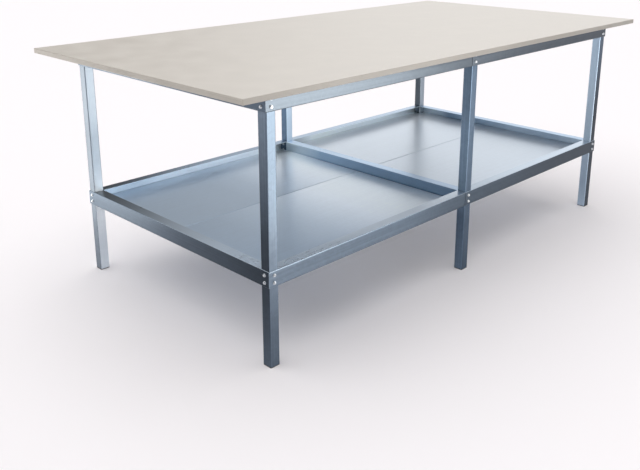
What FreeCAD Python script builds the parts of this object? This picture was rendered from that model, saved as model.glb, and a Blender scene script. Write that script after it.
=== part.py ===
import FreeCAD, Part

import os

import Sketcher

# Assembly table: a laminated board on a bolted frame of galvanised sheet steel.
# Six square tube legs stand in two bays. Each bay has a frame of channel rails under
# the board and another at shelf height, which holds two folded floor panels.
# Millimetres. The origin is on the floor under the middle of the board, +X runs along
# the table, +Y to its rear and +Z up.

doc = FreeCAD.newDocument("assembly_table")

# ---------------------------------------------------------------- driving dimensions

SIZES = [
    ("table_length", 2350, "over the edging, along X"),
    ("table_width", 1200, "over the edging, along Y"),
    ("table_height", 900, "floor to the top of the board"),
    ("board_thickness", 18, "laminated board"),
    ("edging_thickness", 2, "strip glued on each edge of the board"),
    ("edging_round", 1.5, "radius on the outer edges of the edging"),
    ("end_overhang", 136, "board beyond the end rails"),
    ("side_overhang", 66, "board beyond the front and rear rails"),
    ("leg_width", 38, "square tube"),
    ("leg_wall", 2, "tube wall"),
    ("leg_corner_inside", 2, "inner corner radius of the tube"),
    ("plug_head", 3, "part of the foot plug under the tube"),
    ("plug_depth", 22, "part of the foot plug inside the tube"),
    ("plug_wall", 2.5, "wall of the plug's insert"),
    ("plug_clearance", 0.2, "plug to tube, on each side"),
    ("rail_height", 55, "height of the rail channels"),
    ("sheet_thickness", 2, "sheet of the rails and the support angle"),
    ("bend_inside", 1, "inner bend radius of the rails and the angle"),
    ("notch_clearance", 0.5, "flange notch to leg"),
    ("shelf_height", 330, "floor to the top of the shelf rails"),
    ("panel_height", 13, "folded depth of the floor panels"),
    ("panel_sheet", 1.2, "sheet of the floor panels"),
    ("panel_bend_inside", 1.3, "inner bend radius of the floor panels"),
    ("panel_clearance", 1, "floor panel to what stands beside it"),
    ("seam_setback", 33, "seam of the floor panels, behind the middle"),
    ("seam_gap", 1.5, "gap between the two panels of a bay"),
    ("angle_width", 25, "flat arm of the shelf support angle"),
    ("angle_height", 12, "upright arm of the shelf support angle"),
    ("bolt_diameter", 6, "shank"),
    ("bolt_length", 12, "shank under the head"),
    ("bolt_flats", 10, "across the flats of the hexagon"),
    ("bolt_head", 4, "height of the hexagon"),
    ("bolt_spacing", 25, "between the two bolts of a joint"),
    ("hole_clearance", 1, "hole in a rail over shank, on the diameter"),
    ("thread_clearance", 0.2, "tapped hole in a leg over shank, on the diameter"),
    ("shank_sides", 8, "sides of a shank and its holes, few to keep them light"),
]

sheet = doc.addObject("Spreadsheet::Sheet", "Sizes")
for row, (alias, number, note) in enumerate(SIZES, start=1):
    sheet.set(f"A{row}", alias)
    sheet.set(f"B{row}", str(number))
    sheet.set(f"C{row}", note)
    sheet.setAlias(f"B{row}", alias)
doc.recompute()

# ------------------------------------------------------------------ derived dimensions
# Expressions in the sheet's names, from which every sketch, feature and placement
# below takes its value.

RAIL_HOLE = "(Sizes.bolt_diameter + Sizes.hole_clearance)"
TAPPED_HOLE = "(Sizes.bolt_diameter + Sizes.thread_clearance)"
FLANGE_DEPTH = "(Sizes.leg_width + Sizes.sheet_thickness)"
BEND_OUTSIDE = "(Sizes.bend_inside + Sizes.sheet_thickness)"
LEG_CORNER = "(Sizes.leg_corner_inside + Sizes.leg_wall)"
LEG_BORE = "(Sizes.leg_width - 2 * Sizes.leg_wall)"

# Outer faces of the frame, and the outer face of the middle cross rail.
FRAME_X = "(Sizes.table_length / 2 - Sizes.end_overhang)"
FRAME_Y = "(Sizes.table_width / 2 - Sizes.side_overhang)"
MIDDLE_X = "(Sizes.leg_width / 2 + Sizes.sheet_thickness)"

# Centres of the legs.
LEG_X = f"({FRAME_X} - Sizes.sheet_thickness - Sizes.leg_width / 2)"
LEG_Y = f"({FRAME_Y} - Sizes.sheet_thickness - Sizes.leg_width / 2)"

# Levels.
BOARD_BOTTOM = "(Sizes.table_height - Sizes.board_thickness)"
TOP_RAIL_Z = f"({BOARD_BOTTOM} - Sizes.rail_height)"
SHELF_RAIL_Z = "(Sizes.shelf_height - Sizes.rail_height)"
PANEL_SEAT_Z = f"({SHELF_RAIL_Z} + Sizes.sheet_thickness)"
BOLT_LOW = "(Sizes.rail_height / 2 - Sizes.bolt_spacing / 2)"
BOLT_HIGH = "(Sizes.rail_height / 2 + Sizes.bolt_spacing / 2)"

# Rail lengths: the left bay's rails end at the middle cross rail, the right bay's
# rails run past it, and the cross rails stand between front and rear.
LEFT_BAY_LENGTH = f"({FRAME_X} - {MIDDLE_X})"
RIGHT_BAY_LENGTH = f"({FRAME_X} + {MIDDLE_X})"
CROSS_LENGTH = f"(2 * {FRAME_Y} - 2 * Sizes.sheet_thickness)"


def size(expression):
    """Number that an expression in the sheet's names has now."""
    return float(sheet.evalExpression(expression))


# ---------------------------------------------------------------------- small helpers

sub_parts = []


def new_body(label):
    """PartDesign body that is one sub-part of the table."""
    body = doc.addObject("PartDesign::Body", label)
    body.Label = label
    sub_parts.append(body)
    return body


def place(body, x="0", y="0", z="0", turn=0):
    """Turns a body about Z by whole degrees and ties its position to expressions."""
    upright = FreeCAD.Vector(0, 0, 1)
    body.Placement = FreeCAD.Placement(FreeCAD.Vector(), FreeCAD.Rotation(upright, turn))
    for axis, expression in zip("xyz", (x, y, z)):
        body.setExpression("Placement.Base." + axis, expression)


def attach(item, body, role, across="0", up="0", lift="0"):
    """Puts a sketch or prism on an origin plane of its body, with its origin shifted."""
    plane = next(part for part in body.Origin.OriginFeatures if part.Role == role)
    item.AttachmentSupport = [(plane, "")]
    item.MapMode = "FlatFace"
    for axis, expression in zip("xyz", (across, up, lift)):
        item.setExpression("AttachmentOffset.Base." + axis, expression)
    return item


def new_sketch(body, role, across="0", up="0", lift="0"):
    sketch = body.newObject("Sketcher::SketchObject", "sketch")
    return attach(sketch, body, role, across, up, lift)


def add_size(sketch, constraint, expression):
    """Adds a dimension to a sketch and ties it to an expression."""
    index = sketch.addConstraint(constraint)
    sketch.setExpression(f"Constraints[{index}]", expression)


def draw_rectangle(sketch, width, height, centred=False):
    """Rectangle from the sketch's origin, or centred on it."""
    wide, high = size(width), size(height)
    left, low = (-wide / 2, -high / 2) if centred else (0, 0)
    corners = [
        FreeCAD.Vector(left, low, 0),
        FreeCAD.Vector(left + wide, low, 0),
        FreeCAD.Vector(left + wide, low + high, 0),
        FreeCAD.Vector(left, low + high, 0),
    ]
    for start, end in zip(corners, corners[1:] + corners[:1]):
        sketch.addGeometry(Part.LineSegment(start, end), False)
    for side in range(4):
        sketch.addConstraint(Sketcher.Constraint("Coincident", side, 2, (side + 1) % 4, 1))
    for side in (0, 2):
        sketch.addConstraint(Sketcher.Constraint("Horizontal", side))
        sketch.addConstraint(Sketcher.Constraint("Vertical", side + 1))
    if centred:
        sketch.addConstraint(Sketcher.Constraint("Symmetric", 0, 1, 1, 2, -1, 1))
    else:
        sketch.addConstraint(Sketcher.Constraint("Coincident", 0, 1, -1, 1))
    add_size(sketch, Sketcher.Constraint("DistanceX", 0, 1, 0, 2, wide), width)
    add_size(sketch, Sketcher.Constraint("DistanceY", 1, 1, 1, 2, high), height)


def checked(feature, before):
    """Recomputes a feature and makes sure that it added or took material."""
    body = feature.getParentGeoFeatureGroup()
    doc.recompute()
    if abs(body.Shape.Volume - before) < 0.01:
        raise RuntimeError(f"{body.Label}: {feature.Label} changed nothing")
    return feature


def extrude(kind, sketch, length, reverse):
    """Pad or pocket of a sketch."""
    body = sketch.getParentGeoFeatureGroup()
    before = body.Shape.Volume if body.Tip else 0
    feature = body.newObject("PartDesign::" + kind, kind.lower())
    feature.Profile = sketch
    feature.Reversed = reverse
    feature.setExpression("Length", length)
    return checked(feature, before)


def pad(sketch, length, reverse=False):
    return extrude("Pad", sketch, length, reverse)


def pocket(sketch, length, reverse=False):
    return extrude("Pocket", sketch, length, reverse)


def add_prism(kind, body, role, sides, radius, height, across="0", up="0", lift="0"):
    """Regular prism, added or subtracted along its plane's normal."""
    before = body.Shape.Volume if body.Tip else 0
    prism = body.newObject(f"PartDesign::{kind}Prism", "prism")
    attach(prism, body, role, across, up, lift)
    prism.setExpression("Polygon", sides)
    prism.setExpression("Circumradius", radius)
    prism.setExpression("Height", height)
    return checked(prism, before)


def drill(body, role, diameter, depth, across, up, lift):
    """Bolt hole whose flats stand at the hole's diameter."""
    radius = f"{diameter} / 2 / cos(180 / Sizes.shank_sides)"
    add_prism("Subtractive", body, role, "Sizes.shank_sides", radius, depth, across, up, lift)


def runs_along(edge, axis):
    """True for a straight edge parallel to the axis named x, y or z."""
    if edge.Curve.TypeId != "Part::GeomLine":
        return False
    return abs(getattr(edge.tangentAt(edge.FirstParameter), axis)) > 0.999


def lies_at(item, **where):
    """True where an edge's or face's centre has the given coordinates, such as x=0."""
    return all(abs(getattr(item.CenterOfMass, axis) - at) < 0.01 for axis, at in where.items())


def dress(kind, body, measure, amount, wanted):
    """Fillet or chamfer on the edges of the body's tip for which wanted(edge) holds."""
    tip = body.Tip
    names = [f"Edge{n}" for n, edge in enumerate(tip.Shape.Edges, start=1) if wanted(edge)]
    feature = body.newObject("PartDesign::" + kind, kind.lower())
    feature.Base = (tip, names)
    feature.setExpression(measure, amount)
    return checked(feature, tip.Shape.Volume)


def fillet(body, radius, wanted):
    return dress("Fillet", body, "Radius", radius, wanted)


def chamfer(body, width, wanted):
    return dress("Chamfer", body, "Size", width, wanted)


# -------------------------------------------------------------------------- the board

def make_board():
    """Board without its edging."""
    body = new_body("tabletop_board")
    outline = new_sketch(body, "XY_Plane")
    length = "Sizes.table_length - 2 * Sizes.edging_thickness"
    width = "Sizes.table_width - 2 * Sizes.edging_thickness"
    draw_rectangle(outline, length, width, centred=True)
    pad(outline, "Sizes.board_thickness")
    place(body, z=BOARD_BOTTOM)


def make_edging(label, length, x, y, turn, round_ends=True):
    """Edging strip with its outer edges rounded; its outer face is at local y = 0."""
    body = new_body(label)
    section = new_sketch(body, "YZ_Plane")
    draw_rectangle(section, "Sizes.edging_thickness", "Sizes.board_thickness")
    pad(section, length)
    top = size("Sizes.board_thickness")
    ends = (0, size(length)) if round_ends else ()

    def outer(edge):
        if runs_along(edge, "x"):
            return any(lies_at(edge, y=0, z=level) for level in (0, top))
        return runs_along(edge, "z") and any(lies_at(edge, y=0, x=end) for end in ends)

    fillet(body, "Sizes.edging_round", outer)
    place(body, x, y, BOARD_BOTTOM, turn)


# --------------------------------------------------------------------------- the legs

def draw_tube_outline(body, width, corner, lift, length):
    """Square post on the body's origin, with rounded upright edges."""
    outline = new_sketch(body, "XY_Plane", lift=lift)
    draw_rectangle(outline, width, width, centred=True)
    pad(outline, length)
    fillet(body, corner, lambda edge: runs_along(edge, "z"))


def is_corner_post(edge, width):
    """True for the four upright edges of a square of that width round the origin."""
    half = size(width) / 2
    return runs_along(edge, "z") and any(
        lies_at(edge, x=side, y=depth) for side in (-half, half) for depth in (-half, half)
    )


def make_leg(label, x, y, turn):
    """Square tube with two tapped holes at each level, in its -X and -Y walls."""
    body = new_body(label)
    length = f"({BOARD_BOTTOM} - Sizes.plug_head)"
    draw_tube_outline(body, "Sizes.leg_width", LEG_CORNER, "Sizes.plug_head", length)
    bore = new_sketch(body, "XY_Plane", lift="Sizes.plug_head")
    draw_rectangle(bore, LEG_BORE, LEG_BORE, centred=True)
    pocket(bore, length, reverse=True)
    fillet(body, "Sizes.leg_corner_inside", lambda edge: is_corner_post(edge, LEG_BORE))
    # A prism grows along its plane's normal, which is -Y for the XZ plane and +X for
    # the YZ plane: one starts at the wall's inside, the other at its outside.
    for level in (SHELF_RAIL_Z, TOP_RAIL_Z):
        for bolt in (BOLT_LOW, BOLT_HIGH):
            height = f"{level} + {bolt}"
            inside, outside = f"{LEG_BORE} / 2", "-Sizes.leg_width / 2"
            drill(body, "XZ_Plane", TAPPED_HOLE, "Sizes.leg_wall", "0", height, inside)
            drill(body, "YZ_Plane", TAPPED_HOLE, "Sizes.leg_wall", "0", height, outside)
    place(body, x, y, turn=turn)


def make_foot_plug(label, x, y):
    """Plastic plug: a head as wide as the tube, and a hollow insert."""
    body = new_body(label)
    draw_tube_outline(body, "Sizes.leg_width", LEG_CORNER, "0", "Sizes.plug_head")
    insert_width = f"({LEG_BORE} - 2 * Sizes.plug_clearance)"
    insert = new_sketch(body, "XY_Plane", lift="Sizes.plug_head")
    draw_rectangle(insert, insert_width, insert_width, centred=True)
    pad(insert, "Sizes.plug_depth")
    chamfer(body, "Sizes.leg_corner_inside", lambda edge: is_corner_post(edge, insert_width))
    hollow = new_sketch(body, "XY_Plane", lift="Sizes.plug_head")
    hollow_width = f"({insert_width} - 2 * Sizes.plug_wall)"
    draw_rectangle(hollow, hollow_width, hollow_width, centred=True)
    pocket(hollow, "Sizes.plug_depth", reverse=True)
    place(body, x, y)


# -------------------------------------------------------------------------- the rails

def make_rail(label, length, x, y, z, turn, first="post", last="post", setback="0"):
    """Channel folded from sheet: web at local y = 0, flanges reaching to +Y.

    An end is "post" where the flanges are notched for a leg that stands inside, or
    "tab" where the sheet is folded across the end and bolted to the cross rail.
    setback is the distance from a post end to the leg's outer face.
    """
    body = new_body(label)
    section = new_sketch(body, "YZ_Plane")
    draw_rectangle(section, FLANGE_DEPTH, "Sizes.rail_height")
    pad(section, length)
    ends = {0: first, size(length): last}
    folded_ends = [end for end, kind in ends.items() if kind == "tab"]
    wall = size("Sizes.sheet_thickness")
    top = size("Sizes.rail_height")

    def outer_bend(edge):
        if runs_along(edge, "x"):
            return any(lies_at(edge, y=0, z=level) for level in (0, top))
        return runs_along(edge, "z") and any(lies_at(edge, y=0, x=end) for end in folded_ends)

    fillet(body, BEND_OUTSIDE, outer_bend)

    # Inside of the channel, as long as the rail less the folded ends.
    tabs = (first, last).count("tab")
    start = "Sizes.sheet_thickness" if first == "tab" else "0"
    trough = new_sketch(
        body, "YZ_Plane", "Sizes.sheet_thickness", "Sizes.sheet_thickness", start
    )
    draw_rectangle(trough, "Sizes.leg_width", "Sizes.rail_height - 2 * Sizes.sheet_thickness")
    pocket(trough, f"{length} - {tabs} * Sizes.sheet_thickness", reverse=True)

    def inner_bend(edge):
        if not runs_along(edge, "x"):
            return False
        return any(lies_at(edge, y=wall, z=level) for level in (wall, top - wall))

    fillet(body, "Sizes.bend_inside", inner_bend)

    wall_thickness = "Sizes.sheet_thickness"
    notch_length = f"({setback} + Sizes.leg_width + Sizes.notch_clearance)"
    hole_place = f"({setback} + Sizes.leg_width / 2)"
    for end, kind in enumerate((first, last)):
        if kind == "post":
            notch_start = f"{length} - {notch_length}" if end else "0"
            notch = new_sketch(body, "XY_Plane", notch_start, "Sizes.sheet_thickness")
            draw_rectangle(notch, notch_length, "Sizes.leg_width")
            pocket(notch, "Sizes.rail_height", reverse=True)
            role, lift = "XZ_Plane", "-Sizes.sheet_thickness"
            across = f"{length} - {hole_place}" if end else hole_place
        else:
            role, lift = "YZ_Plane", f"{length} - Sizes.sheet_thickness" if end else "0"
            across = "Sizes.sheet_thickness + Sizes.leg_width / 2"
        for bolt in (BOLT_LOW, BOLT_HIGH):
            drill(body, role, RAIL_HOLE, wall_thickness, across, bolt, lift)
    place(body, x, y, z, turn)


def make_rail_frame(name, z):
    """The seven rails of one level: two bays that share the middle cross rail."""
    wall = "Sizes.sheet_thickness"
    inside_y = f"({FRAME_Y} - Sizes.sheet_thickness)"
    left, right, cross = LEFT_BAY_LENGTH, RIGHT_BAY_LENGTH, CROSS_LENGTH
    make_rail(name + "_rail_front_left", left, f"-{FRAME_X}", f"-{FRAME_Y}", z, 0,
              last="tab", setback=wall)
    make_rail(name + "_rail_front_right", right, f"-{MIDDLE_X}", f"-{FRAME_Y}", z, 0,
              setback=wall)
    make_rail(name + "_rail_rear_left", left, f"-{MIDDLE_X}", FRAME_Y, z, 180,
              first="tab", setback=wall)
    make_rail(name + "_rail_rear_right", right, FRAME_X, FRAME_Y, z, 180, setback=wall)
    make_rail(name + "_rail_end_left", cross, f"-{FRAME_X}", inside_y, z, -90)
    make_rail(name + "_rail_middle", cross, f"-{MIDDLE_X}", inside_y, z, -90)
    make_rail(name + "_rail_end_right", cross, FRAME_X, f"-{inside_y}", z, 90)


# ------------------------------------------------------------------- the shelf's floor

def make_panel(label, x, y, length, depth, notches):
    """Folded tray, open downwards. notches are (x, y, width) of its cut corners."""
    body = new_body(label)
    outline = new_sketch(body, "XY_Plane")
    draw_rectangle(outline, length, depth)
    pad(outline, "Sizes.panel_height")
    top = size("Sizes.panel_height")
    bend = "Sizes.panel_bend_inside + Sizes.panel_sheet"
    fillet(body, bend, lambda edge: lies_at(edge, z=top))

    # Only a skin of the block is left: its top and the folded sides.
    block = body.Tip
    underside = next(
        f"Face{n}" for n, face in enumerate(block.Shape.Faces, start=1)
        if lies_at(face, z=0)
    )
    skin = body.newObject("PartDesign::Thickness", "skin")
    skin.Base = (block, [underside])
    skin.Reversed = True
    skin.setExpression("Value", "Sizes.panel_sheet")
    checked(skin, block.Shape.Volume)

    for notch_x, notch_y, notch_width in notches:
        notch = new_sketch(body, "XY_Plane", notch_x, notch_y)
        draw_rectangle(notch, notch_width, "Sizes.leg_width")
        pocket(notch, "Sizes.panel_height", reverse=True)
    place(body, x, y, PANEL_SEAT_Z)


def make_shelf_floor():
    """Front and rear panel of each bay, meeting at a seam that runs along X."""
    inset = "(Sizes.sheet_thickness + Sizes.panel_clearance)"
    half_seam = "Sizes.seam_gap / 2"
    # Each bay: first X of its panels, their length, and the notch at each end. The
    # left bay's panels stop at the support angle and clear the bolt heads beside it.
    left_x = f"(-{FRAME_X} + {inset})"
    left_length = f"({LEFT_BAY_LENGTH} - 2 * {inset})"
    right_x = f"(-{MIDDLE_X} + {inset})"
    right_length = f"({RIGHT_BAY_LENGTH} - 2 * {inset})"
    bays = {
        "left": (left_x, left_length, "Sizes.leg_width", "Sizes.bolt_head"),
        "right": (right_x, right_length, "Sizes.leg_width", "Sizes.leg_width"),
    }
    front_y = f"(-{FRAME_Y} + {inset})"
    front_depth = f"({FRAME_Y} - {inset} + Sizes.seam_setback - {half_seam})"
    rear_y = f"(Sizes.seam_setback + {half_seam})"
    rear_depth = f"({FRAME_Y} - {inset} - Sizes.seam_setback - {half_seam})"
    for bay, (x, length, first_notch, last_notch) in bays.items():
        last_x = f"{length} - {last_notch}"
        front_notches = [("0", "0", first_notch), (last_x, "0", last_notch)]
        make_panel(f"shelf_panel_front_{bay}", x, front_y, length, front_depth, front_notches)
        back = f"{rear_depth} - Sizes.leg_width"
        rear_notches = [("0", back, first_notch), (last_x, back, last_notch)]
        make_panel(f"shelf_panel_rear_{bay}", x, rear_y, length, rear_depth, rear_notches)


def make_support_angle():
    """Angle on the middle cross rail that carries the left bay's panels."""
    body = new_body("shelf_support_angle")
    length = f"({CROSS_LENGTH} - 2 * Sizes.leg_width - 2 * Sizes.notch_clearance)"
    section = new_sketch(body, "YZ_Plane")
    draw_rectangle(section, "Sizes.angle_width", "Sizes.angle_height")
    pad(section, length)
    fillet(body, BEND_OUTSIDE, lambda edge: runs_along(edge, "x") and lies_at(edge, y=0, z=0))
    inside = new_sketch(body, "YZ_Plane", "Sizes.sheet_thickness", "Sizes.sheet_thickness")
    arm = "Sizes.angle_width - Sizes.sheet_thickness"
    upright = "Sizes.angle_height - Sizes.sheet_thickness"
    draw_rectangle(inside, arm, upright)
    pocket(inside, length, reverse=True)
    wall = size("Sizes.sheet_thickness")
    fillet(body, "Sizes.bend_inside",
           lambda edge: runs_along(edge, "x") and lies_at(edge, y=wall, z=wall))
    place(body, f"-{MIDDLE_X}", f"-{length} / 2", SHELF_RAIL_Z, 90)


# ---------------------------------------------------------------------- the fasteners

def make_bolt():
    """Pattern for the bolts: seat at z = 0, hexagon above, shank below."""
    body = doc.addObject("PartDesign::Body", "bolt")
    add_prism("Additive", body, "XY_Plane", "6", "Sizes.bolt_flats / 2 / cos(30)", "Sizes.bolt_head")
    add_prism("Additive", body, "XY_Plane", "Sizes.shank_sides", "Sizes.bolt_diameter / 2",
              "Sizes.bolt_length", lift="-Sizes.bolt_length")
    return body.Shape


def bolted_faces():
    """Each bolted leg face: the leg's centre, the outward normal and the sheets clamped."""
    leg_x, leg_y = size(LEG_X), size(LEG_Y)
    faces = []
    for side in (-1, 1):
        for x in (-leg_x, 0, leg_x):
            centre = FreeCAD.Vector(x, side * leg_y, 0)
            along = FreeCAD.Vector(1 if x > 0 else -1, 0, 0)
            faces.append((centre, FreeCAD.Vector(0, side, 0), 1))
            faces.append((centre, along, 1 if x else 2))
    return faces


def make_bolts(label, rail_z, bolt):
    """One sub-part with the bolts of one level, two to each bolted leg face."""
    upward = FreeCAD.Vector(0, 0, 1)
    bolts = []
    for centre, normal, sheets in bolted_faces():
        # Local Z turns to the normal and local X upwards.
        turn = FreeCAD.Rotation(upward, normal.cross(upward), normal, "ZXY")
        seat = size("Sizes.leg_width") / 2 + sheets * size("Sizes.sheet_thickness")
        for height in (BOLT_LOW, BOLT_HIGH):
            at = centre + normal * seat + upward * size(f"{rail_z} + {height}")
            bolts.append(bolt.transformed(FreeCAD.Placement(at, turn).toMatrix()))
    group = doc.addObject("Part::Feature", label)
    group.Label = label
    group.Shape = Part.makeCompound(bolts)
    group.Placement = FreeCAD.Placement()
    sub_parts.append(group)


# -------------------------------------------------------------------------- the table

make_board()
half_length, half_width = "Sizes.table_length / 2", "Sizes.table_width / 2"
short_width = "(Sizes.table_width - 2 * Sizes.edging_thickness)"
make_edging("edging_front", "Sizes.table_length", f"-{half_length}", f"-{half_width}", 0)
make_edging("edging_rear", "Sizes.table_length", half_length, half_width, 180)
make_edging("edging_left", short_width, f"-{half_length}", f"{short_width} / 2", -90, False)
make_edging("edging_right", short_width, half_length, f"-{short_width} / 2", 90, False)

LEG_PLACES = {
    "front_left": (f"-{LEG_X}", f"-{LEG_Y}", 0),
    "front_middle": ("0", f"-{LEG_Y}", 0),
    "front_right": (LEG_X, f"-{LEG_Y}", 90),
    "rear_left": (f"-{LEG_X}", LEG_Y, -90),
    "rear_middle": ("0", LEG_Y, -90),
    "rear_right": (LEG_X, LEG_Y, 180),
}
for place_name, (leg_x, leg_y, leg_turn) in LEG_PLACES.items():
    make_leg("leg_" + place_name, leg_x, leg_y, leg_turn)
    make_foot_plug("foot_plug_" + place_name, leg_x, leg_y)

make_rail_frame("top", TOP_RAIL_Z)
make_rail_frame("shelf", SHELF_RAIL_Z)
make_shelf_floor()
make_support_angle()
bolt_shape = make_bolt()
make_bolts("top_bolts", TOP_RAIL_Z, bolt_shape)
make_bolts("shelf_bolts", SHELF_RAIL_Z, bolt_shape)

# ------------------------------------------------------------------------ the files

doc.recompute()
for item in doc.Objects:
    if "Invalid" in item.State or "Error" in item.State:
        raise RuntimeError(f"{item.Label} failed: {item.State}")
for item in sub_parts:
    if item.Shape.isNull() or not item.Shape.isValid():
        raise RuntimeError(f"{item.Label} has no valid shape")

os.makedirs("parts", exist_ok=True)
for item in sub_parts:
    item.Shape.exportStep(os.path.join("parts", item.Label + ".step"))
    box = item.Shape.BoundBox
    print(f"{item.Label}: {len(item.Shape.Solids)} solid(s), {item.Shape.Volume / 1000:.1f} cm3, "
          f"X {box.XMin:.1f} to {box.XMax:.1f}, Y {box.YMin:.1f} to {box.YMax:.1f}, "
          f"Z {box.ZMin:.1f} to {box.ZMax:.1f}")
print(f"{len(sub_parts)} sub-parts")
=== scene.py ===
# %% [markdown]
# # An assembly table in galvanised steel
# The table is a bolted frame of six square legs and folded rails, with a sheet
# metal shelf near the floor and a thick laminated board on top. Its solids come
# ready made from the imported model, so this lesson gives them their finishes,
# builds the small parts that a plain solid only hints at, and lights the whole.

# %% Load the table
import math

import bmesh
import bpy
from mathutils import Matrix, Vector


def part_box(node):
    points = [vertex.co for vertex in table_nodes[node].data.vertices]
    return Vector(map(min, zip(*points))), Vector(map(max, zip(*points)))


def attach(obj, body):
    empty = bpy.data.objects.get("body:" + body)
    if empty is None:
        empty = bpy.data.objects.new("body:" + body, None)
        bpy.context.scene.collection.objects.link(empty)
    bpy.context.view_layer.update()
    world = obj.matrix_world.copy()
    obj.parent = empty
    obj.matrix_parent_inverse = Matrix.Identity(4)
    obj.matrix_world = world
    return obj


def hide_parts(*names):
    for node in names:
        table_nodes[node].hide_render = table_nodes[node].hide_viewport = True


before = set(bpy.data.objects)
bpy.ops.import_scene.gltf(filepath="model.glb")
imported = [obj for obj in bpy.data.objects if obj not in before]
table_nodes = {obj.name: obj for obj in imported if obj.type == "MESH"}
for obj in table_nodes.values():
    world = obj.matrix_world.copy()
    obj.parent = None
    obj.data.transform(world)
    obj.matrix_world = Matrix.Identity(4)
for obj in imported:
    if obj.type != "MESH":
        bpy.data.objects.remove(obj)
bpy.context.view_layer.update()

# %% [markdown]
# ## The camera
# The table is looked at from a standing person's height, from one of its corners.
# A camera could be aimed with a tracking constraint, but a constraint hides the
# numbers. Here the three axes of the camera are worked out from its compass
# direction, its height angle and a slight lean, and put straight into its matrix.

# %% Camera
# Angles in degrees, places in metres, lens and sensor in millimetres. The shift is
# a share of the sensor's width.
VIEW_AZIMUTH = -44.915
VIEW_HEIGHT = 16.284
VIEW_LEAN = -0.087
VIEW_TARGET = Vector((-0.1392, 0.1496, 0.4))
VIEW_DISTANCE = 3.4573
LENS = 44.72
SENSOR_WIDTH = 36.0
LENS_SHIFT = -0.1378
FARTHEST_SEEN = 200.0


def compass(azimuth, height):
    """Unit vector that points away from the table, 0 degrees being the front."""
    turn, lift = math.radians(azimuth), math.radians(height)
    return Vector((
        math.sin(turn) * math.cos(lift),
        -math.cos(turn) * math.cos(lift),
        math.sin(lift),
    ))


backward = compass(VIEW_AZIMUTH, VIEW_HEIGHT)
level_right = Vector((0, 0, 1)).cross(backward).normalized()
level_up = backward.cross(level_right)
lean = math.radians(VIEW_LEAN)
right = level_right * math.cos(lean) + level_up * math.sin(lean)
up = level_up * math.cos(lean) - level_right * math.sin(lean)

lens_data = bpy.data.cameras.new("camera")
lens_data.lens = LENS
lens_data.sensor_width = SENSOR_WIDTH
lens_data.shift_y = LENS_SHIFT
lens_data.clip_end = FARTHEST_SEEN
camera = bpy.data.objects.new("camera", lens_data)
bpy.context.scene.collection.objects.link(camera)
turned = Matrix((right, up, backward)).transposed().to_4x4()
camera.matrix_world = Matrix.Translation(VIEW_TARGET + backward * VIEW_DISTANCE) @ turned
bpy.context.scene.camera = camera
print("camera stands at", [round(value, 3) for value in camera.location])

# %% [markdown]
# ## The room
# Bare metal has hardly any colour of its own: it shows the room. A room of one
# even brightness makes a folded sheet look like grey card, so the room gets a few
# lighter sides. An image of a real studio would do that too, but soft patches
# painted on the world are smoother and need no file. A patch is a cone around one
# direction that fades out towards its rim. Each has a colour of its own, and one
# after another they are added to the even light that fills the room.

# %% Room light
bpy.context.scene.view_settings.view_transform = "Standard"
ROOM_LIGHT = (0.22, 0.208, 0.197)
# Compass direction, height angle, full inside, gone outside, added light.
ROOM_PATCHES = (
    (90, 90, 15, 85, (0.20, 0.20, 0.20)),
    (110, 14, 12, 43, (0.97, 0.98, 1.0)),
    (55, 20, 12, 36, (0.55, 0.57, 0.60)),
)


def connect(tree, output, target):
    tree.links.new(output, target)


room = bpy.data.worlds.new("studio")
bpy.context.scene.world = room
room.use_nodes = True
sky = room.node_tree
sky_direction = sky.nodes.new("ShaderNodeTexCoord").outputs["Generated"]
light_so_far = None
for azimuth, height, full, gone, added_light in ROOM_PATCHES:
    nearness = sky.nodes.new("ShaderNodeVectorMath")
    nearness.operation = "DOT_PRODUCT"
    connect(sky, sky_direction, nearness.inputs[0])
    nearness.inputs[1].default_value = compass(azimuth, height)
    fade = sky.nodes.new("ShaderNodeMapRange")
    fade.interpolation_type = "SMOOTHSTEP"
    fade.inputs["From Min"].default_value = math.cos(math.radians(gone))
    fade.inputs["From Max"].default_value = math.cos(math.radians(full))
    connect(sky, nearness.outputs["Value"], fade.inputs["Value"])
    patch = sky.nodes.new("ShaderNodeVectorMath")
    patch.operation = "MULTIPLY_ADD"
    connect(sky, fade.outputs["Result"], patch.inputs[0])
    patch.inputs[1].default_value = added_light
    patch.inputs[2].default_value = ROOM_LIGHT
    if light_so_far is not None:
        connect(sky, light_so_far, patch.inputs[2])
    light_so_far = patch.outputs["Vector"]
connect(sky, light_so_far, sky.nodes["Background"].inputs["Color"])
print(len(ROOM_PATCHES), "soft patches light the room")

# %% [markdown]
# ## Overhead light and reflector panels
# A sun lamp with a very wide angle stands for a ceiling of diffusing cloth: it
# lights the whole floor evenly, however far away, and still draws a soft shadow
# under the shelf. Two glowing panels stand on the floor beside the table, as they
# do in a studio for metalware, only to be mirrored in the steel. A panel that
# close would wash out everything matt, so it is hidden from matt surfaces.

# %% Overhead light
CEILING_STRENGTH = 2.04
CEILING_WIDTH = math.radians(90)
CEILING_COLOUR = (0.985, 0.985, 1.0)
CEILING_TILT = (math.radians(-10), math.radians(-13), 0)
ceiling_data = bpy.data.lights.new("ceiling", "SUN")
ceiling_data.energy = CEILING_STRENGTH
ceiling_data.angle = CEILING_WIDTH
ceiling_data.color = CEILING_COLOUR
ceiling = bpy.data.objects.new("ceiling", ceiling_data)
bpy.context.scene.collection.objects.link(ceiling)
ceiling.rotation_euler = CEILING_TILT
print("overhead light", round(math.degrees(CEILING_WIDTH)), "degrees wide")

# %% Reflector panels
PANEL_COLOUR = (1.0, 0.95, 0.88)
# Centre, width, height, direction that the panel faces, power in watts.
PANELS = {
    "front_panel": ((0.33, -1.66, 0.64), 1.35, 1.2, (0, 1, 0), 30.0),
    "left_panel": ((-1.42, 1.18, 0.42), 1.15, 0.8, (1, 0, 0), 10.0),
}

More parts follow.
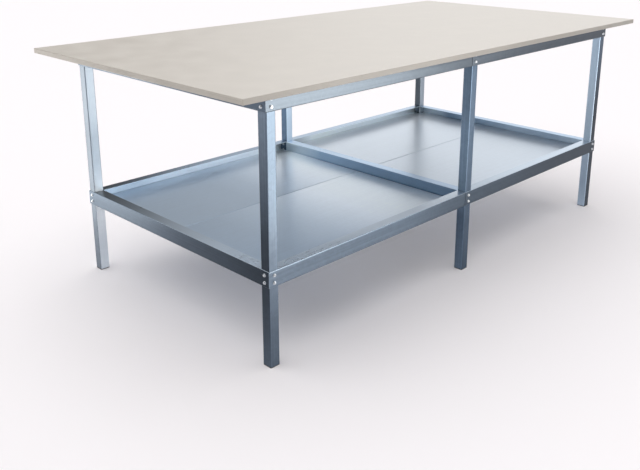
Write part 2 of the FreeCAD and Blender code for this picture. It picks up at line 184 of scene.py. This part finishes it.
for name, (centre, width, height, faces, power) in PANELS.items():
    panel_data = bpy.data.lights.new(name, "AREA")
    panel_data.shape = "RECTANGLE"
    panel_data.size = width
    panel_data.size_y = height
    panel_data.energy = power
    panel_data.color = PANEL_COLOUR
    panel = bpy.data.objects.new(name, panel_data)
    bpy.context.scene.collection.objects.link(panel)
    panel.location = centre
    panel.rotation_euler = Vector(faces).to_track_quat("-Z", "Y").to_euler()
    panel.visible_camera = False
    panel.visible_diffuse = False
    print(name, width, "by", height, "m")

# %% [markdown]
# ## The floor
# The floor is a matt pale sheet, wide enough to reach past the horizon from every
# side. A wall behind the table would hide it from the other views, so there is
# none. Turning the lamps up until the floor is white would bleach the board too.
# Instead the sheet itself glows a little, only for the camera and for mirrored or
# transmitted rays, so it looks white everywhere, steel included, and its shadow
# stays. The glow is a touch warmer than the sheet, because the light that the blue
# zinc throws under the shelf would leave the shadow too blue.

# %% Floor
FLOOR_RADIUS = 60.0
FLOOR_SIDES = 48
FLOOR_COLOUR = (0.845, 0.829, 0.852, 1.0)
FLOOR_GLOW_COLOUR = (1.0, 0.90, 0.82, 1.0)
FLOOR_GLOW = 0.10
floor_mesh = bpy.data.meshes.new("studio_floor")
floor_builder = bmesh.new()
bmesh.ops.create_circle(
    floor_builder, cap_ends=True, segments=FLOOR_SIDES, radius=FLOOR_RADIUS
)
floor_builder.to_mesh(floor_mesh)
floor_builder.free()
floor = bpy.data.objects.new("studio_floor", floor_mesh)
bpy.context.scene.collection.objects.link(floor)

floor_finish = bpy.data.materials.new("pale_floor")
floor_finish.use_nodes = True
floor_tree = floor_finish.node_tree
floor_shader = floor_tree.nodes["Principled BSDF"]
floor_shader.inputs["Roughness"].default_value = 1.0
floor_shader.inputs["Specular IOR Level"].default_value = 0.0
floor_shader.inputs["Base Color"].default_value = FLOOR_COLOUR
floor_shader.inputs["Emission Color"].default_value = FLOOR_GLOW_COLOUR
seen_by = floor_tree.nodes.new("ShaderNodeLightPath")
looked_at = seen_by.outputs["Is Camera Ray"]
for kind in ("Is Glossy Ray", "Is Transmission Ray"):
    either = floor_tree.nodes.new("ShaderNodeMath")
    connect(floor_tree, looked_at, either.inputs[0])
    connect(floor_tree, seen_by.outputs[kind], either.inputs[1])
    looked_at = either.outputs["Value"]
glow = floor_tree.nodes.new("ShaderNodeMath")
glow.operation = "MULTIPLY"
glow.inputs[1].default_value = FLOOR_GLOW
connect(floor_tree, looked_at, glow.inputs[0])
connect(floor_tree, glow.outputs["Value"], floor_shader.inputs["Emission Strength"])
floor_mesh.materials.append(floor_finish)
print("floor radius", FLOOR_RADIUS, "m")

# %% [markdown]
# ## Building blocks for the finishes
# A finish is a small tree of nodes: patterns go in at one end, and colour,
# roughness and relief come out at the other. The same few steps come back in every
# finish of this table, so each is a short helper: a stretched place, a noise, a mix
# of two patterns, a colour ramp, a change of range and a relief. Node groups would
# do as well, but with functions every finish has a plain tree of its own that is
# easy to look at.

# %% Node helpers
def new_finish(name):
    """A finish, its tree, its shader, and the place on the part that patterns read."""
    finish = bpy.data.materials.new(name)
    finish.use_nodes = True
    tree = finish.node_tree
    place = tree.nodes.new("ShaderNodeTexCoord").outputs["Object"]
    return finish, tree, tree.nodes["Principled BSDF"], place


def squeezed(tree, place, axis, along, across):
    """Place scaled by along on the named axis and by across on the other two."""
    squeeze = tree.nodes.new("ShaderNodeMapping")
    squeeze.inputs["Scale"].default_value = [
        along if letter == axis else across for letter in "XYZ"
    ]
    connect(tree, place, squeeze.inputs["Vector"])
    return squeeze.outputs["Vector"]


def noise(tree, place, scale, detail=2.0):
    texture = tree.nodes.new("ShaderNodeTexNoise")
    texture.inputs["Scale"].default_value = scale
    texture.inputs["Detail"].default_value = detail
    connect(tree, place, texture.inputs["Vector"])
    return texture.outputs["Fac"]


def weigh(tree, first, second, share):
    """The two values mixed: share of the second, the rest of the first."""
    mix = tree.nodes.new("ShaderNodeMix")
    mix.data_type = "FLOAT"
    mix.inputs["Factor"].default_value = share
    connect(tree, first, mix.inputs["A"])
    connect(tree, second, mix.inputs["B"])
    return mix.outputs["Result"]


def colour_ramp(tree, value, stops):
    ramp = tree.nodes.new("ShaderNodeValToRGB")
    ramp.color_ramp.elements[0].position, ramp.color_ramp.elements[0].color = stops[0]
    ramp.color_ramp.elements[1].position, ramp.color_ramp.elements[1].color = stops[-1]
    for position, colour in stops[1:-1]:
        ramp.color_ramp.elements.new(position).color = colour
    connect(tree, value, ramp.inputs["Fac"])
    return ramp.outputs["Color"]


def spread(tree, value, low, high, start=0.3, end=0.7):
    """Value's range from start to end drawn out to low and high."""
    fit = tree.nodes.new("ShaderNodeMapRange")
    fit.inputs["From Min"].default_value = start
    fit.inputs["From Max"].default_value = end
    fit.inputs["To Min"].default_value = low
    fit.inputs["To Max"].default_value = high
    connect(tree, value, fit.inputs["Value"])
    return fit.outputs["Result"]


def relief(tree, shader, height, depth, strength):
    bump = tree.nodes.new("ShaderNodeBump")
    bump.inputs["Distance"].default_value = depth
    bump.inputs["Strength"].default_value = strength
    connect(tree, height, bump.inputs["Height"])
    connect(tree, bump.outputs["Normal"], shader.inputs["Normal"])


print("node helpers ready")

# %% [markdown]
# ## The colour of zinc and its painted light
# Each colour is worked out from one number, the level, between dark and pale:
# dark levels are bluish and pale ones whiter. The level is partly the zinc's own
# tone and mostly painted reflection and shade, pale where a bright patch or panel
# would be mirrored and dark where shade would be. A colour ramp along one axis
# passes through several levels, so the painted reflection and shade change along a
# part. Paint by hand could do that too, but the ramp follows the part when its
# length changes.

# %% Steel colour
STEEL_TINT = (0.53, 0.735, 1.0)
# Pale levels paint bright reflections of a near-white room, so they lose this share of the
# blue.
TINT_LOSS = 0.75


def steel_shade(level, blueness):
    """Bluish where dark, whiter where the painted level is pale. Blueness 1 is the usual
    hue.
    """
    usual = 1 - TINT_LOSS * level
    green = STEEL_TINT[1]
    return (*(
        min(1.0, level * part ** usual * (part / green) ** ((blueness - 1) * usual))
        for part in STEEL_TINT
    ), 1.0)


# Painted reflection and shade that change along a part, as a ramp through its levels.
def tone_and_light_ramp(tree, along, levels, reach, blueness):
    """Colour that passes through the levels, spread evenly over reach (low, high)."""
    share = spread(tree, along, 0.0, 1.0, *reach)
    levels = levels if len(levels) > 1 else levels * 2
    steps = len(levels) - 1
    stops = tuple(
        (step / steps, steel_shade(level, blueness)) for step, level in enumerate(levels)
    )
    return colour_ramp(tree, share, stops)


for level in (0.1, 0.5, 0.9):
    print("level", level, "is", [round(part, 2) for part in steel_shade(level, 1.0)[:3]])

# %% [markdown]
# ## Galvanised steel
# Hot-dip galvanising leaves crystals of zinc, called spangle, and the mill that
# rolled the strip leaves long faint streaks. A picture of real sheet wrapped round
# the part would stretch at the folds and repeat. Procedural noise is worked out
# from the place in space instead, so it never repeats and needs no unwrapping. The
# streaks are one noise squeezed along the axis in which the tube or rail was
# rolled, and the crystals are a cell pattern. One mix of them and some soft clouds
# drives colour and roughness together, because a duller patch is rougher as well.

# %% Steel finish
STREAKS_ALONG = 1.6
STREAKS_ACROSS = 190.0
SPANGLE_SIZE = 0.011
CLOUDS_SCALE = 3.0
# Shares of the crystals and the clouds in the tone, and of the crystals in the relief.
SPANGLE_SHARE = 0.22
CLOUDS_SHARE = 0.35
SPANGLE_RELIEF_SHARE = 0.3
# The part of the mixed pattern's range that the swing of the tone is spread over.
TONE_RANGE = (0.34, 0.66)
STEEL_RELIEF_DEPTH = 0.0002


def make_steel(
    axes_named, levels, reach, blueness, swing, relief_strength, smooth, rough, metal
):
    """Galvanised steel, rolled along the first axis named, its levels along the last."""
    grain, course = axes_named[0], axes_named[-1]
    finish, tree, shader, place = new_finish("galvanised")
    shader.inputs["Metallic"].default_value = metal
    rolled = squeezed(tree, place, grain, STREAKS_ALONG, STREAKS_ACROSS)
    streaks = noise(tree, rolled, 1.0, detail=3.0)
    crystals = tree.nodes.new("ShaderNodeTexVoronoi")
    crystals.inputs["Scale"].default_value = 1.0 / SPANGLE_SIZE
    connect(tree, place, crystals.inputs["Vector"])
    clouds = noise(tree, place, CLOUDS_SCALE)
    grained = weigh(tree, streaks, crystals.outputs["Color"], SPANGLE_SHARE)
    tone = weigh(tree, grained, clouds, CLOUDS_SHARE)
    axes = tree.nodes.new("ShaderNodeSeparateXYZ")
    connect(tree, place, axes.inputs["Vector"])
    shaded = tree.nodes.new("ShaderNodeVectorMath")
    shaded.operation = "SCALE"
    coloured = tone_and_light_ramp(tree, axes.outputs[course], levels, reach, blueness)
    connect(tree, coloured, shaded.inputs[0])
    brightness = spread(tree, tone, 1 - swing, 1 + swing, *TONE_RANGE)
    connect(tree, brightness, shaded.inputs["Scale"])
    connect(tree, shaded.outputs["Vector"], shader.inputs["Base Color"])
    connect(tree, spread(tree, tone, smooth, rough), shader.inputs["Roughness"])
    bumps = weigh(tree, streaks, crystals.outputs["Distance"], SPANGLE_RELIEF_SHARE)
    relief(tree, shader, bumps, STEEL_RELIEF_DEPTH, relief_strength)
    return finish


print("streaks", STREAKS_ACROSS / STREAKS_ALONG, "times as long as wide")

# %% [markdown]
# ## The laminated board
# The top is a chipboard faced with a warm grey laminate. Such a laminate isn't one
# colour: it has fine pale and dark flecks and a soft mottling, under a satin skin
# that takes on a sheen at a low angle. The flecks are a fine noise, the mottling a
# coarse one, and the satin comes from roughness and a shallow relief. Underneath,
# where nobody looks, such a board has a paler and smoother backing film, which is
# the same finish with other shades.

# %% Laminate finish
# Dark, middle and pale shade, and where each sits in the mixed pattern.
LAMINATE_SHADES = (
    (0.560, 0.523, 0.470, 1.0),
    (0.612, 0.575, 0.522, 1.0),
    (0.665, 0.630, 0.580, 1.0),
)
BACKING_SHADES = (
    (0.74, 0.73, 0.71, 1.0),
    (0.80, 0.79, 0.77, 1.0),
    (0.84, 0.83, 0.82, 1.0),
)
SHADE_PLACES = (0.36, 0.5, 0.64)
FLECKS_SCALE = 700.0
MOTTLING_SCALE = 9.0
MOTTLING_SHARE = 0.4
LAMINATE_RELIEF = (0.0001, 0.2)


def make_laminate(name, shades, gloss, smooth, rough):
    finish, tree, shader, place = new_finish(name)
    flecks = noise(tree, place, FLECKS_SCALE, detail=3.0)
    mottling = noise(tree, place, MOTTLING_SCALE, detail=4.0)
    tone = weigh(tree, flecks, mottling, MOTTLING_SHARE)
    colour = colour_ramp(tree, tone, tuple(zip(SHADE_PLACES, shades)))
    connect(tree, colour, shader.inputs["Base Color"])
    connect(tree, spread(tree, mottling, smooth, rough), shader.inputs["Roughness"])
    shader.inputs["Specular IOR Level"].default_value = gloss
    relief(tree, shader, flecks, *LAMINATE_RELIEF)
    return finish


board_laminate = make_laminate(
    "board_laminate", LAMINATE_SHADES, gloss=0.62, smooth=0.34, rough=0.44
)
board_backing = make_laminate(
    "board_backing", BACKING_SHADES, gloss=0.9, smooth=0.20, rough=0.28
)
print("laminate and its backing ready")

# %% [markdown]
# ## Edging strip
# The board's raw edges hide behind strips of plastic edging, glued on and scraped
# flush. Scraping leaves fine lines along the strip and a slightly lighter, duller
# line where the knife ran. The same stretched noise as for the steel gives the
# lines, with plastic under it instead of metal.

# %% Edging finish
EDGING_DARK = (0.455, 0.425, 0.375, 1.0)
EDGING_LIGHT = (0.545, 0.515, 0.460, 1.0)
SCRAPES_ALONG = 4.0
SCRAPES_ACROSS = 900.0
EDGING_CLOUDS_SCALE = 6.0
EDGING_CLOUDS_SHARE = 0.45
EDGING_ROUGHNESS = (0.42, 0.58)
EDGING_RELIEF = (0.0001, 0.25)


def make_edging(name, along):
    finish, tree, shader, place = new_finish(name)
    scraped = squeezed(tree, place, along, SCRAPES_ALONG, SCRAPES_ACROSS)
    scrapes = noise(tree, scraped, 1.0)
    clouds = noise(tree, place, EDGING_CLOUDS_SCALE)
    tone = weigh(tree, scrapes, clouds, EDGING_CLOUDS_SHARE)
    colour = colour_ramp(tree, tone, ((0.36, EDGING_DARK), (0.64, EDGING_LIGHT)))
    connect(tree, colour, shader.inputs["Base Color"])
    connect(tree, spread(tree, scrapes, *EDGING_ROUGHNESS), shader.inputs["Roughness"])
    relief(tree, shader, scrapes, *EDGING_RELIEF)
    return finish


edging_lengthwise = make_edging("edging_lengthwise", "X")
edging_crosswise = make_edging("edging_crosswise", "Y")
print("edging finishes ready")

# %% [markdown]
# ## Foot plugs
# Each leg ends in a moulded plastic plug. Moulded plastic has a spark-eroded
# grain: a fine even pitting that scatters the light. A cell pattern for the pits
# and a noise for the scuffs that a floor leaves on it are enough at this size.

# %% Plug finish
PLUG_DARK = (0.045, 0.048, 0.052, 1.0)
PLUG_SCUFFED = (0.110, 0.112, 0.115, 1.0)
PITS_SCALE = 1400.0
SCUFFS_SCALE = 160.0
PLUG_ROUGHNESS = (0.5, 0.75)
PLUG_RELIEF = (0.0002, 0.35)


def make_plug_plastic(name):
    finish, tree, shader, place = new_finish(name)
    pits = tree.nodes.new("ShaderNodeTexVoronoi")
    pits.inputs["Scale"].default_value = PITS_SCALE
    connect(tree, place, pits.inputs["Vector"])
    scuffs = noise(tree, place, SCUFFS_SCALE, detail=5.0)
    colour = colour_ramp(tree, scuffs, ((0.45, PLUG_DARK), (0.7, PLUG_SCUFFED)))
    connect(tree, colour, shader.inputs["Base Color"])
    connect(tree, spread(tree, scuffs, *PLUG_ROUGHNESS), shader.inputs["Roughness"])
    relief(tree, shader, pits.outputs["Distance"], *PLUG_RELIEF)
    return finish


plug_plastic = make_plug_plastic("plug_plastic")
print("plug plastic ready")

# %% [markdown]
# ## Zinc-plated fasteners
# Bolts and screws are plated by the barrel load, so they are brighter than the
# sheet, a little cooler, and cloudy where they knocked together. No direction
# stands out, so a plain noise without any squeezing is right here.

# %% Fastener finish
ZINC_DULL = (0.50, 0.54, 0.58, 1.0)
ZINC_BRIGHT = (0.72, 0.75, 0.78, 1.0)
KNOCKS_SCALE = 420.0
ZINC_ROUGHNESS = (0.20, 0.38)
ZINC_RELIEF = (0.0001, 0.3)


def make_zinc(name):
    finish, tree, shader, place = new_finish(name)
    shader.inputs["Metallic"].default_value = 1.0
    knocks = noise(tree, place, KNOCKS_SCALE, detail=4.0)
    colour = colour_ramp(tree, knocks, ((0.35, ZINC_DULL), (0.62, ZINC_BRIGHT)))
    connect(tree, colour, shader.inputs["Base Color"])
    connect(tree, spread(tree, knocks, *ZINC_ROUGHNESS), shader.inputs["Roughness"])
    relief(tree, shader, knocks, *ZINC_RELIEF)
    return finish


zinc = make_zinc("zinc_fasteners")
print("fastener finish ready")

# %% [markdown]
# ## Tones of the steel and its painted light
# Most of each part's levels are painted light: reflections and shade painted into
# the colour, pale where a bright patch or panel would be mirrored and dark where
# shade or a dark part would be, changing along the part. Walls that meet at a
# corner get lit and shaded copies of one zinc by the side they face, which is what
# makes folded sheet look folded. A small share is the zinc's own tone. A picture
# painted over each part could show it, but a table of levels by the part's name and
# the side that a face looks to is easier to read and to change. The longest name
# beginning that fits a part is the one that counts.

# %% Tones
# Name beginning: grain, levels, and the levels of single sides. The levels paint
# reflection and shade over the zinc's tone, and the side levels paint lit and
# shaded walls. Several levels are passed through from the low end of the grain's
# axis to its high end, or along a second axis where two are named.
STEEL_TONES_AND_PAINTED_LIGHT = {
    "leg": ("Z", (0.20,), {}),
    "leg_front_left": (
        "Z",
        (0.22, 0.245, 0.30, 0.36, 0.37, 0.29, 0.22, 0.215, 0.215),
        {"left": (0.17, 0.115, 0.075, 0.058, 0.068, 0.115, 0.17, 0.24, 0.30)},
    ),
    "leg_front_middle": (
        "Z",
        (0.145, 0.14, 0.175),
        {"left": (0.27, 0.28, 0.23, 0.34, 0.37, 0.32, 0.18, 0.14, 0.11)},
    ),
    "leg_front_right": (
        "Z",
        (0.06, 0.058, 0.05, 0.045, 0.041, 0.065, 0.105, 0.155, 0.19),
        {"left": (0.60, 0.55, 0.58, 0.68, 0.64, 0.62, 0.56, 0.51, 0.49)},
    ),
    "leg_rear_left": (
        "Z",
        (0.76, 0.81, 0.95, 0.82, 0.55, 0.42, 0.45, 0.45, 0.45),
        {"left": (0.265, 0.265, 0.25, 0.19, 0.175, 0.17, 0.20, 0.205, 0.20)},
    ),
    "leg_rear_middle": ("Z", (0.20,), {"left": (0.15,), "front": (0.85, 0.80, 1.0)}),
    "leg_rear_right": ("Z", (0.20,), {"left": (0.12,), "front": (0.50, 0.44)}),
    "top_rail": ("X", (0.18,), {}),
    "top_rail_front_left": ("X", (0.17, 0.155, 0.145, 0.14, 0.135, 0.14, 0.145), {}),
    "top_rail_front_right": ("X", (0.165, 0.11), {}),
    "top_rail_rear": ("X", (0.18,), {"front": (1.0,), "down": (1.0,)}),
    "top_rail_end": ("Y", (0.18,), {}),
    "top_rail_middle": ("Y", (0.18,), {}),
    "shelf_rail_front_left": ("X", (0.34, 0.21, 0.13), {"up": (0.70, 0.80, 0.84)}),
    "shelf_rail_front_right": ("X", (0.12, 0.07), {"up": (0.68,)}),
    "shelf_rail_rear_left": (
        "X",
        (0.18,),
        {
            "front": (0.71, 0.64, 0.81, 0.86, 0.92, 1.0),
            "up": (0.05, 0.16, 0.40, 0.50, 0.50, 0.55),
        },
    ),
    "shelf_rail_rear_right": (
        "X", (0.18,), {"front": (0.19, 1.0, 1.0, 1.0, 1.0, 1.0), "up": (0.62,)}
    ),
    "shelf_rail_end_left": (
        "Y", (0.055, 0.145, 0.155), {"up": (0.72, 0.68, 0.55, 0.27, 0.05)}
    ),
    "shelf_rail_end_right": (
        "Y", (0.18,), {"left": (0.88, 0.64, 0.66, 0.45, 0.33, 1.0), "up": (0.60,)}
    ),
    "shelf_rail_middle": (
        "Y", (0.18,), {"left": (0.31, 0.29, 0.29, 0.43, 1.0), "up": (0.70,)}
    ),
    "shelf_support": ("Y", (0.18,), {}),
    "shelf_panel_front_left": (
        "X", (0.70, 0.59, 0.61, 0.67, 0.75, 0.87, 0.97, 1.0, 1.0, 1.0), {}
    ),
    "shelf_panel_rear_left": (
        "X", (0.76, 0.64, 0.63, 0.63, 0.62, 0.66, 0.79, 0.92, 1.0, 1.0), {}
    ),
    "shelf_panel_front_right": ("XY", (0.80, 0.84, 0.84), {}),
    "shelf_panel_rear_right": ("XY", (0.85, 0.87, 1.0), {}),
}
print(len(STEEL_TONES_AND_PAINTED_LIGHT), "name beginnings have tones")

# %% [markdown]
# ## Painted hues and surfaces
# The painted reflections differ in hue from part to part as well, so a second table
# holds the parts that are painted bluer or greyer than usual. The surface differs
# too. Dark zinc shows its streaks and crystals plainly, pale zinc looks smooth, and
# the upper flanges, wiped clean every day, are smooth enough to mirror what stands
# by them. The floor panels lie open to the air and grow a thin dull skin of oxide,
# so they aren't wholly metallic: a part of their light is scattered like that of
# chalk. A finish is made when a part first asks for it and used again when the next
# asks for the same one.

# %% Surfaces
STEEL_SWING = 0.16
# From this level on the zinc is smooth to the eye.
PALE_FROM = 0.5
# Swing of the tone, strength of the relief, lowest and highest roughness, and how
# much of the surface is bare metal.
PLAIN_SURFACE = (STEEL_SWING, 0.12, 0.30, 0.40, 1.0)
PALE_SURFACE = (STEEL_SWING / 4, 0.04, 0.40, 0.48, 1.0)
FLANGE_SURFACE = (STEEL_SWING / 4, 0.002, 0.26, 0.33, 1.0)
SHEET_SURFACE = (STEEL_SWING / 4, 0.002, 0.28, 0.34, 0.6)
# How blue the painted reflection on a part is, where it isn't the usual 1.
PAINTED_REFLECTION_BLUENESS = {
    "leg_front_middle": 1.3,
    "leg_front_right": 1.25,
    "leg_rear_left": 0.75,
    "leg_rear_middle": 1.6,
    "leg_rear_right": 0.75,
    "top_rail_front": 0.7,
    "shelf_rail_middle": 1.7,
    "shelf_rail_end_right": 1.6,
    "shelf_rail_rear": 1.4,
    "shelf_panel_front_left": 1.3,
    "shelf_panel_rear_left": 1.3,
}
steel_finishes = {}


def longest_start(name, table):
    return max((start for start in table if name.startswith(start)), key=len, default=None)


def surface_of(part, side, levels):
    if part.startswith("shelf_panel"):
        return SHEET_SURFACE
    if side == "up":
        return FLANGE_SURFACE
    return PALE_SURFACE if max(levels) >= PALE_FROM else PLAIN_SURFACE


def steel(part, grain, levels, side=None):
    """The finish of that grain and those levels on part, made when first asked for."""
    low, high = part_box(part)
    axis = "XYZ".index(grain[-1])
    reach = (round(low[axis], 3), round(high[axis], 3))
    blueness = PAINTED_REFLECTION_BLUENESS.get(longest_start(part, PAINTED_REFLECTION_BLUENESS), 1.0)
    wanted = (grain, levels, reach, blueness, *surface_of(part, side, levels))
    if wanted not in steel_finishes:
        steel_finishes[wanted] = make_steel(*wanted)
    return steel_finishes[wanted]


# Parts whose painted reflection is bluer or greyer than usual.
print(len(PAINTED_REFLECTION_BLUENESS), "painted_hues are bluer or greyer than usual")

# %% [markdown]
# ## Finishes on the parts
# Every solid of the frame keeps its shape and only gets its finishes. Folds should
# shade as smooth bends while true corners stay crisp: marking the edges that turn
# by more than thirty degrees as sharp does both.

# %% Dress the parts
CREASE = math.radians(30)
SIDES = (("left", "right"), ("front", "rear"), ("down", "up"))
OTHER_PARTS = {
    "tabletop_board": (board_laminate, {"down": board_backing}),
    "edging_front": (edging_lengthwise, {}),
    "edging_rear": (edging_lengthwise, {}),
    "edging": (edging_crosswise, {}),
    "foot_plug": (plug_plastic, {}),
    "top_bolts": (zinc, {}),
    "shelf_bolts": (zinc, {}),
}


def side_of(normal):
    """The side that a face looks to, by the longest part of its normal."""
    axis = max(range(3), key=lambda number: abs(normal[number]))
    return SIDES[axis][normal[axis] > 0]


def dress(mesh, finish, by_side=None):
    by_side = by_side or {}
    mesh.materials.clear()
    for layer in (finish, *by_side.values()):
        mesh.materials.append(layer)
    slots = {side: number for number, side in enumerate(by_side, 1)}
    mesh.polygons.foreach_set(
        "material_index", [slots.get(side_of(face.normal), 0) for face in mesh.polygons]
    )
    mesh.shade_smooth()
    mesh.set_sharp_from_angle(angle=CREASE)


for name, part in table_nodes.items():
    start = longest_start(name, STEEL_TONES_AND_PAINTED_LIGHT)
    if start is None:
        dress(part.data, *OTHER_PARTS[longest_start(name, OTHER_PARTS)])
        continue
    # Painted reflection and shade: levels along the part and by the side a face looks to.
    grain, levels, painted_side_levels = STEEL_TONES_AND_PAINTED_LIGHT[start]
    by_side = {side: steel(name, grain, tones, side) for side, tones in painted_side_levels.items()}
    dress(part.data, steel(name, grain, levels), by_side)
print(len(table_nodes), "parts dressed,", len(steel_finishes), "tones of steel")

# %% [markdown]
# ## Bolts
# The rails are held by flange bolts: a hexagon for the spanner over a round collar
# that spreads the load. In the solids each head is one plain hexagon, nearly as
# wide as the collar. A boolean of a cone and a hexagon would give the real head,
# but stacking rings of points is simpler and leaves tidy faces. Every ring follows
# either the hexagon or a circle, and the chamfer appears where the hexagon's
# corners are cut down along a cone. A shallow dimple in the top finishes the head.

# %% Bolt shape
MM = 0.001
BOLT_SIDES = 24
HEAD_HEIGHT = 4.0 * MM
HEX_FLATS = 8.0 * MM
COLLAR_RADIUS = 5.8 * MM
COLLAR_HEIGHT = 1.1 * MM
COLLAR_RIM = 0.5 * MM
COLLAR_SLANT = 0.7 * MM
CHAMFER_RADIUS = 3.8 * MM
CHAMFER_SLOPE = math.radians(30)
DIMPLE_RADIUS = 2.8 * MM
DIMPLE_FLOOR_RADIUS = 2.4 * MM
DIMPLE_DEPTH = 0.3 * MM
SHANK_RADIUS = 2.9 * MM
SHANK_LENGTH = 12.0 * MM
TIP_LENGTH = 1.0 * MM
# The tip's end is this share of the shank's radius.
TIP_SHARE = 0.75


def circle(radius, height):
    return lambda turn: (radius, height)


def hexagon(height):
    """Hexagon outline, and from CHAMFER_RADIUS outwards never above the cone."""
    def corner(turn):
        within = (turn + math.pi / 6) % (math.pi / 3) - math.pi / 6
        radius = HEX_FLATS / 2 / math.cos(within)
        outside = max(0.0, radius - CHAMFER_RADIUS)
        cone = HEAD_HEIGHT - outside * math.tan(CHAMFER_SLOPE)
        return radius, min(height, cone)
    return corner


def stack_rings(builder, rings, sides, place):
    """Skins the rings from bottom to top, both ends closed, and moves them to place."""
    loops = []
    for ring in rings:
        loop = []
        for step in range(sides):
            turn = 2 * math.pi * step / sides
            radius, height = ring(turn)
            point = Vector((radius * math.cos(turn), radius * math.sin(turn), height))
            loop.append(builder.verts.new(place @ point))
        loops.append(loop)
    for lower, upper in zip(loops, loops[1:]):
        for step in range(sides):
            after = (step + 1) % sides
            builder.faces.new((lower[step], lower[after], upper[after], upper[step]))
    builder.faces.new(list(reversed(loops[0])))
    builder.faces.new(loops[-1])


BOLT_RINGS = (
    circle(SHANK_RADIUS * TIP_SHARE, -SHANK_LENGTH),
    circle(SHANK_RADIUS, -SHANK_LENGTH + TIP_LENGTH),
    circle(SHANK_RADIUS, 0.0),
    circle(COLLAR_RADIUS, 0.0),
    circle(COLLAR_RADIUS, COLLAR_RIM),
    circle(COLLAR_RADIUS - COLLAR_SLANT, COLLAR_HEIGHT),
    hexagon(COLLAR_HEIGHT),
    hexagon(HEAD_HEIGHT),
    circle(CHAMFER_RADIUS, HEAD_HEIGHT),
    circle(DIMPLE_RADIUS, HEAD_HEIGHT),
    circle(DIMPLE_FLOOR_RADIUS, HEAD_HEIGHT - DIMPLE_DEPTH),
)
print("one bolt has", len(BOLT_RINGS) * BOLT_SIDES, "points")

# %% [markdown]
# ## Where the bolts sit
# Nothing is placed by eye. The legs' boxes give the middle of each leg, the rails'
# boxes give the faces that the heads press on, and the two heights count down from
# the rail's top edge. The bolts of one level are one piece, as they are in the
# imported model, and that piece stands in for the plain ones.

# %% Set the bolts
BOLT_DROPS = (15.0 * MM, 40.0 * MM)
SHEET_THICKNESS = 2.0 * MM


def middle_of(node):
    low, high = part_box(node)
    return (low + high) / 2


def facing(seat, outward):
    """Matrix that stands a piece on seat with its +Z along outward."""
    return Matrix.Translation(seat) @ outward.to_track_quat("Z", "Y").to_matrix().to_4x4()


def bolt_seats(level):
    """Every (seat, outward direction) of one level's bolts."""
    frame_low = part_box(f"{level}_rail_front_left")[0]
    frame_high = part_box(f"{level}_rail_rear_right")[1]
    seats = []
    for drop in BOLT_DROPS:
        height = frame_high.z - drop
        for side, face, outward in (
            ("front", frame_low.y, Vector((0, -1, 0))),
            ("rear", frame_high.y, Vector((0, 1, 0))),
        ):
            for post in ("left", "middle", "right"):
                across = middle_of(f"leg_{side}_{post}").x
                seats.append((Vector((across, face, height)), outward))
            depth = middle_of(f"leg_{side}_left").y
            seats.append((Vector((frame_low.x, depth, height)), Vector((-1, 0, 0))))
            seats.append((Vector((frame_high.x, depth, height)), Vector((1, 0, 0))))
            tab_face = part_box(f"{level}_rail_middle")[0].x - SHEET_THICKNESS
            seats.append((Vector((tab_face, depth, height)), Vector((-1, 0, 0))))
    return seats


def finish_piece(builder, name, finish):
    mesh = bpy.data.meshes.new(name)
    bmesh.ops.recalc_face_normals(builder, faces=builder.faces)
    builder.to_mesh(mesh)
    builder.free()
    piece = bpy.data.objects.new(name, mesh)
    bpy.context.scene.collection.objects.link(piece)
    dress(mesh, finish)
    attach(piece, "root")
    return piece


for level in ("top", "shelf"):
    builder = bmesh.new()
    seats = bolt_seats(level)
    for seat, outward in seats:
        stack_rings(builder, BOLT_RINGS, BOLT_SIDES, facing(seat, outward))
    bolts = finish_piece(builder, f"{level}_flange_bolts", zinc)
    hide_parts(f"{level}_bolts")
    print(level, "level:", len(seats), "bolts")

# %% [markdown]
# ## Screws under the board
# The board is screwed down from below, through the top rails' flanges. Only the
# pan heads show, each with a six-lobed recess. The same stack of rings makes them:
# a dome that comes back down inside a lobed outline is a head with its recess.

# %% Board screws
SCREW_SIDES = 36
SCREW_RADIUS = 4.5 * MM
SCREW_HEIGHT = 2.6 * MM
# The dome from bottom to top: share of the head's radius, and height.
SCREW_DOME = (
    (1.0, -0.2 * MM),
    (1.0, 0.7 * MM),
    (0.93, 1.6 * MM),
    (0.74, 2.3 * MM),
    (0.55, SCREW_HEIGHT),
)
RECESS_RADIUS = 1.9 * MM
RECESS_TAPER = 0.95
RECESS_FLOOR = 1.0 * MM
LOBES = 6
LOBE_SWING = 0.14
SCREW_SETBACK = 26.0 * MM
SCREW_FROM_END = 160.0 * MM
# Rails whose middle lies farther out than this are not the middle rail.
MIDDLE_BAND = 25.0 * MM


def lobes(radius, height):
    """Round outline that swings in and out once for each lobe."""
    return lambda turn: (radius * (1 + LOBE_SWING * math.cos(LOBES * turn)), height)


SCREW_RINGS = (
    *(circle(SCREW_RADIUS * share, height) for share, height in SCREW_DOME),
    lobes(RECESS_RADIUS, SCREW_HEIGHT),
    lobes(RECESS_RADIUS * RECESS_TAPER, RECESS_FLOOR),
)


def screw_spots(rail):
    """Three places under one top rail's flange."""
    low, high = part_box(rail)
    underside = high.z - SHEET_THICKNESS
    size = high - low
    along = 0 if size.x > size.y else 1
    across = 1 - along
    # The flange reaches inwards from the rail's outer face, and on the middle rail
    # from its left face to the right.
    inward = -1 if middle_of(rail)[across] > MIDDLE_BAND else 1
    outer_face = high[across] if inward < 0 else low[across]
    spots = []
    for station in (
        low[along] + SCREW_FROM_END,
        middle_of(rail)[along],
        high[along] - SCREW_FROM_END,
    ):
        spot = Vector((0, 0, underside))
        spot[along] = station
        spot[across] = outer_face + inward * SCREW_SETBACK
        spots.append(spot)
    return spots


builder = bmesh.new()
top_rails = sorted(name for name in table_nodes if name.startswith("top_rail_"))
spots = [spot for rail in top_rails for spot in screw_spots(rail)]
for spot in spots:
    stack_rings(builder, SCREW_RINGS, SCREW_SIDES, facing(spot, Vector((0, 0, -1))))
finish_piece(builder, "board_screws", zinc)
print(len(spots), "screws hold the board")
